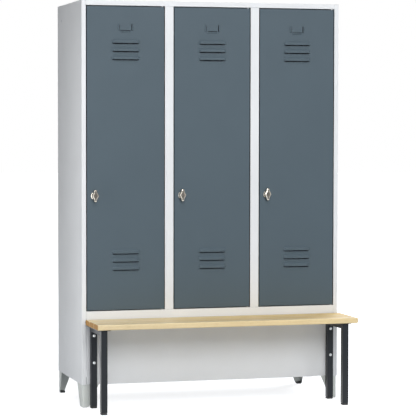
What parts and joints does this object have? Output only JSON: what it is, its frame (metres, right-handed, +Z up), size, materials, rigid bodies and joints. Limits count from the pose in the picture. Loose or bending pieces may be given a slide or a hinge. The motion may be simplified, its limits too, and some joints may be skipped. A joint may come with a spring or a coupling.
{
  "type": "locker with bench",
  "caption": "Steel clothes locker on tapered feet with hinged louvred doors and turn latches, and a slatted wooden bench on tube frames bolted to its front.",
  "frame": {"origin": "on the floor, under the middle of the box that holds the case and the bench", "axes": "+Z up, +Y towards the rear wall, +X to the right as seen from the front"},
  "size_m": [1.2094, 0.74, 1.8],
  "materials": {
    "case_steel": "satin light grey powder coat",
    "door_steel": "satin blue-grey powder coat",
    "bench_steel": "satin anthracite powder coat",
    "bench_wood": "lacquered beech",
    "zinc_steel": "bright zinc plate",
    "latch_metal": "satin nickel plate on a zinc casting",
    "black_plastic": "moulded polyethylene",
    "grey_plastic": "moulded polyethylene"
  },
  "bodies": {
    "root": {"side_panel_left": "case_steel", "side_panel_right": "case_steel", "rear_panel": "case_steel", "roof_panel": "case_steel", "compartment_floor": "case_steel", "under_bench_panel": "case_steel", "post_left": "case_steel", "post_right": "case_steel", "partition_left": "case_steel", "partition_right": "case_steel", "hat_shelf_left": "case_steel", "hat_shelf_middle": "case_steel", "hat_shelf_right": "case_steel", "foot_front_left": "case_steel", "foot_front_right": "case_steel", "foot_rear_left": "case_steel", "foot_rear_right": "case_steel", "coat_rail_left": "zinc_steel", "coat_rail_middle": "zinc_steel", "coat_rail_right": "zinc_steel", "bench_bolt_lower_left": "zinc_steel", "bench_bolt_lower_right": "zinc_steel", "bench_bolt_upper_left": "zinc_steel", "bench_bolt_upper_right": "zinc_steel", "foot_glide_front_left": "black_plastic", "foot_glide_front_right": "black_plastic", "foot_glide_rear_left": "black_plastic", "foot_glide_rear_right": "black_plastic", "leg_cap_rear_left": "black_plastic", "leg_cap_rear_right": "black_plastic", "leg_cap_front_left": "black_plastic", "leg_cap_front_right": "black_plastic", "seat_slat_rear": "bench_wood", "seat_slat_middle": "bench_wood", "seat_slat_front": "bench_wood", "bench_frame_left": "bench_steel", "bench_frame_right": "bench_steel", "side_plug_left": "grey_plastic", "side_plug_right": "grey_plastic"},
    "door_left": {"door_panel_left": "door_steel", "door_channel_left": "door_steel", "pivot_pin_top_left": "zinc_steel", "pivot_pin_bottom_left": "zinc_steel", "latch_housing_left": "latch_metal"},
    "handle_left": {"turn_handle_left": "latch_metal", "latch_cam_left": "zinc_steel"},
    "door_middle": {"door_panel_middle": "door_steel", "door_channel_middle": "door_steel", "pivot_pin_top_middle": "zinc_steel", "pivot_pin_bottom_middle": "zinc_steel", "latch_housing_middle": "latch_metal"},
    "handle_middle": {"turn_handle_middle": "latch_metal", "latch_cam_middle": "zinc_steel"},
    "door_right": {"door_panel_right": "door_steel", "door_channel_right": "door_steel", "pivot_pin_top_right": "zinc_steel", "pivot_pin_bottom_right": "zinc_steel", "latch_housing_right": "latch_metal"},
    "handle_right": {"turn_handle_right": "latch_metal", "latch_cam_right": "zinc_steel"}
  },
  "joints": [
    {"name": "door_hinge_left", "type": "hinge", "parent": "root", "child": "door_left", "pos_m": [-0.23675, -0.125, 1.103], "axis": [0, 0, 1], "range_deg": [0, 110]},
    {"name": "handle_turn_left", "type": "hinge", "parent": "door_left", "child": "handle_left", "pos_m": [-0.54575, -0.13, 0.939], "axis": [0, -1, 0], "range_deg": [0, 90]},
    {"name": "door_hinge_middle", "type": "hinge", "parent": "root", "child": "door_middle", "pos_m": [0.16325, -0.125, 1.103], "axis": [0, 0, 1], "range_deg": [0, 110]},
    {"name": "handle_turn_middle", "type": "hinge", "parent": "door_middle", "child": "handle_middle", "pos_m": [-0.14575, -0.13, 0.939], "axis": [0, -1, 0], "range_deg": [0, 90]},
    {"name": "door_hinge_right", "type": "hinge", "parent": "root", "child": "door_right", "pos_m": [0.56325, -0.125, 1.103], "axis": [0, 0, 1], "range_deg": [0, 110]},
    {"name": "handle_turn_right", "type": "hinge", "parent": "door_right", "child": "handle_right", "pos_m": [0.25425, -0.13, 0.939], "axis": [0, -1, 0], "range_deg": [0, 90]}
  ]
}
